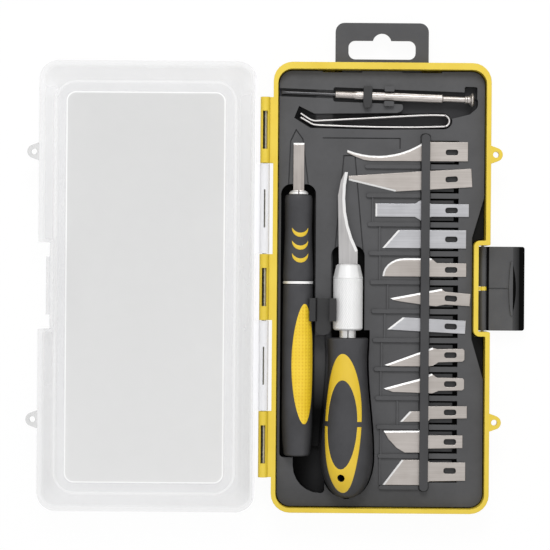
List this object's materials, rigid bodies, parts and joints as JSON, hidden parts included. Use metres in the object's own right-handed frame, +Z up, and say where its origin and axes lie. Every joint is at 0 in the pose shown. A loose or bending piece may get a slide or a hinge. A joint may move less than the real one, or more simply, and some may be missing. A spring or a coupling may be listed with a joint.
{
  "type": "craft knife set in a case",
  "caption": "Craft knife set: hinged case with clear lid, latch and hanging tab; tray holds a slim knife, a fat carving knife, spare blades, a screwdriver and tweezers.",
  "frame": {"origin": "centre of the base's underside", "axes": "+X from the hinge to the latch, +Y to the hanging tab, +Z up out of the open case"},
  "size_m": [0.2505, 0.2463, 0.0294],
  "materials": {
    "yellow_plastic": "satin moulded plastic",
    "clear_plastic": "clear moulded plastic, lightly frosted panel",
    "black_plastic": "fine-textured moulded plastic",
    "tray_plastic": "satin moulded plastic",
    "blade_steel": "cross-ground steel with bright bevels",
    "bright_steel": "polished steel",
    "dark_steel": "blackened steel",
    "aluminium": "turned and knurled"
  },
  "bodies": {
    "case": {"base_shell": "yellow_plastic", "tray": "tray_plastic", "hinge_pin": "dark_steel", "latch_pin": "bright_steel", "hanger_tab": "black_plastic", "knife_clip": "black_plastic"},
    "lid": {"lid_shell": "clear_plastic"},
    "latch": {"latch": "black_plastic"},
    "slim_knife": {"slim_handle": "black_plastic", "slim_grip_inlay": "yellow_plastic", "slim_ring": "bright_steel", "slim_collet": "bright_steel"},
    "slim_sleeve": {"slim_sleeve": "black_plastic", "slim_crescents": "yellow_plastic"},
    "slim_blade": {"slim_blade": "blade_steel"},
    "fat_knife": {"fat_handle": "black_plastic", "fat_grip_inlay": "yellow_plastic", "fat_collet": "bright_steel"},
    "fat_chuck": {"fat_chuck": "aluminium"},
    "fat_blade": {"fat_blade": "blade_steel"},
    "driver_strap": {"driver_strap": "black_plastic"},
    "driver": {"driver_shaft": "dark_steel", "driver_body": "bright_steel", "driver_cap_pin": "bright_steel"},
    "driver_cap": {"driver_cap": "bright_steel"},
    "tweezers": {"tweezer_lower_arm": "bright_steel"},
    "tweezer_upper": {"tweezer_upper_arm": "bright_steel"},
    "blade_bar": {"blade_bar": "black_plastic"},
    "blade_01_concave": {"blade_01_concave": "blade_steel"},
    "blade_02_long_taper": {"blade_02_long_taper": "blade_steel"},
    "blade_03_chisel": {"blade_03_chisel": "blade_steel"},
    "blade_04_angle": {"blade_04_angle": "blade_steel"},
    "blade_05_rounded": {"blade_05_rounded": "blade_steel"},
    "blade_06_long_point": {"blade_06_long_point": "blade_steel"},
    "blade_07_narrow_angle": {"blade_07_narrow_angle": "blade_steel"},
    "blade_08_fine_point": {"blade_08_fine_point": "blade_steel"},
    "blade_09_curved_point": {"blade_09_curved_point": "blade_steel"},
    "blade_10_stencil": {"blade_10_stencil": "blade_steel"},
    "blade_11_scoring": {"blade_11_scoring": "blade_steel"},
    "blade_12_heavy_angle": {"blade_12_heavy_angle": "blade_steel"}
  },
  "joints": [
    {"name": "lid_hinge", "type": "hinge", "parent": "case", "child": "lid", "pos_m": [-0.0586, 0, 0.0171], "axis": [0, -1, 0], "range_deg": [-180, 0]},
    {"name": "latch_hinge", "type": "hinge", "parent": "case", "child": "latch", "pos_m": [0.0517, 0, 0.0065], "axis": [0, 1, 0], "range_deg": [-90, 0]},
    {"name": "slim_knife_lift", "type": "slide", "parent": "case", "child": "slim_knife", "axis": [0, 0, 1], "range_m": [0, 0.05], "deforming": ["knife_clip"]},
    {"name": "slim_sleeve_turn", "type": "hinge", "parent": "slim_knife", "child": "slim_sleeve", "pos_m": [-0.0416, 0.025, 0.0132], "axis": [0, 1, 0], "range_deg": [0, 720]},
    {"name": "slim_blade_slide", "type": "slide", "parent": "slim_knife", "child": "slim_blade", "axis": [0, 1, 0], "range_m": [0, 0.013]},
    {"name": "fat_knife_lift", "type": "slide", "parent": "case", "child": "fat_knife", "axis": [0, 0, 1], "range_m": [0, 0.06]},
    {"name": "fat_chuck_turn", "type": "hinge", "parent": "fat_knife", "child": "fat_chuck", "pos_m": [-0.0166, 0, 0.0164], "axis": [0, 1, 0], "range_deg": [0, 720]},
    {"name": "fat_blade_slide", "type": "slide", "parent": "fat_knife", "child": "fat_blade", "axis": [0, 1, 0], "range_m": [0, 0.013]},
    {"name": "strap_lift", "type": "slide", "parent": "case", "child": "driver_strap", "axis": [0, 0, 1], "range_m": [0, 0.06]},
    {"name": "driver_lift", "type": "slide", "parent": "case", "child": "driver", "axis": [0, 0, 1], "range_m": [0, 0.03]},
    {"name": "driver_cap_spin", "type": "hinge", "parent": "driver", "child": "driver_cap", "pos_m": [0.04265, 0.09477, 0.0118], "axis": [0.9995, -0.0332, 0], "continuous": true},
    {"name": "tweezers_lift", "type": "slide", "parent": "case", "child": "tweezers", "axis": [0, 0, 1], "range_m": [0, 0.03]},
    {"name": "tweezers_squeeze", "type": "hinge", "parent": "tweezers", "child": "tweezer_upper", "pos_m": [0.0311, 0.08406, 0.00835], "axis": [0, 0, 1], "range_deg": [0, 0.5]},
    {"name": "bar_lift", "type": "slide", "parent": "case", "child": "blade_bar", "axis": [0, 0, 1], "range_m": [0, 0.04]},
    {"name": "blade_01_lift", "type": "slide", "parent": "case", "child": "blade_01_concave", "axis": [0, 0, 1], "range_m": [0, 0.02]},
    {"name": "blade_02_lift", "type": "slide", "parent": "case", "child": "blade_02_long_taper", "axis": [0, 0, 1], "range_m": [0, 0.02]},
    {"name": "blade_03_lift", "type": "slide", "parent": "case", "child": "blade_03_chisel", "axis": [0, 0, 1], "range_m": [0, 0.02]},
    {"name": "blade_04_lift", "type": "slide", "parent": "case", "child": "blade_04_angle", "axis": [0, 0, 1], "range_m": [0, 0.02]},
    {"name": "blade_05_lift", "type": "slide", "parent": "case", "child": "blade_05_rounded", "axis": [0, 0, 1], "range_m": [0, 0.02]},
    {"name": "blade_06_lift", "type": "slide", "parent": "case", "child": "blade_06_long_point", "axis": [0, 0, 1], "range_m": [0, 0.02]},
    {"name": "blade_07_lift", "type": "slide", "parent": "case", "child": "blade_07_narrow_angle", "axis": [0, 0, 1], "range_m": [0, 0.02]},
    {"name": "blade_08_lift", "type": "slide", "parent": "case", "child": "blade_08_fine_point", "axis": [0, 0, 1], "range_m": [0, 0.02]},
    {"name": "blade_09_lift", "type": "slide", "parent": "case", "child": "blade_09_curved_point", "axis": [0, 0, 1], "range_m": [0, 0.02]},
    {"name": "blade_10_lift", "type": "slide", "parent": "case", "child": "blade_10_stencil", "axis": [0, 0, 1], "range_m": [0, 0.02]},
    {"name": "blade_11_lift", "type": "slide", "parent": "case", "child": "blade_11_scoring", "axis": [0, 0, 1], "range_m": [0, 0.02]},
    {"name": "blade_12_lift", "type": "slide", "parent": "case", "child": "blade_12_heavy_angle", "axis": [0, 0, 1], "range_m": [0, 0.02]}
  ],
  "couplings": [
    {"joint": "driver_lift", "follows": "strap_lift", "ratio": 0.5},
    {"joint": "blade_01_lift", "follows": "bar_lift", "ratio": 0.5},
    {"joint": "blade_02_lift", "follows": "bar_lift", "ratio": 0.5},
    {"joint": "blade_03_lift", "follows": "bar_lift", "ratio": 0.5},
    {"joint": "blade_04_lift", "follows": "bar_lift", "ratio": 0.5},
    {"joint": "blade_05_lift", "follows": "bar_lift", "ratio": 0.5},
    {"joint": "blade_06_lift", "follows": "bar_lift", "ratio": 0.5},
    {"joint": "blade_07_lift", "follows": "bar_lift", "ratio": 0.5},
    {"joint": "blade_08_lift", "follows": "bar_lift", "ratio": 0.5},
    {"joint": "blade_09_lift", "follows": "bar_lift", "ratio": 0.5},
    {"joint": "blade_10_lift", "follows": "bar_lift", "ratio": 0.5},
    {"joint": "blade_11_lift", "follows": "bar_lift", "ratio": 0.5},
    {"joint": "blade_12_lift", "follows": "bar_lift", "ratio": 0.5}
  ]
}
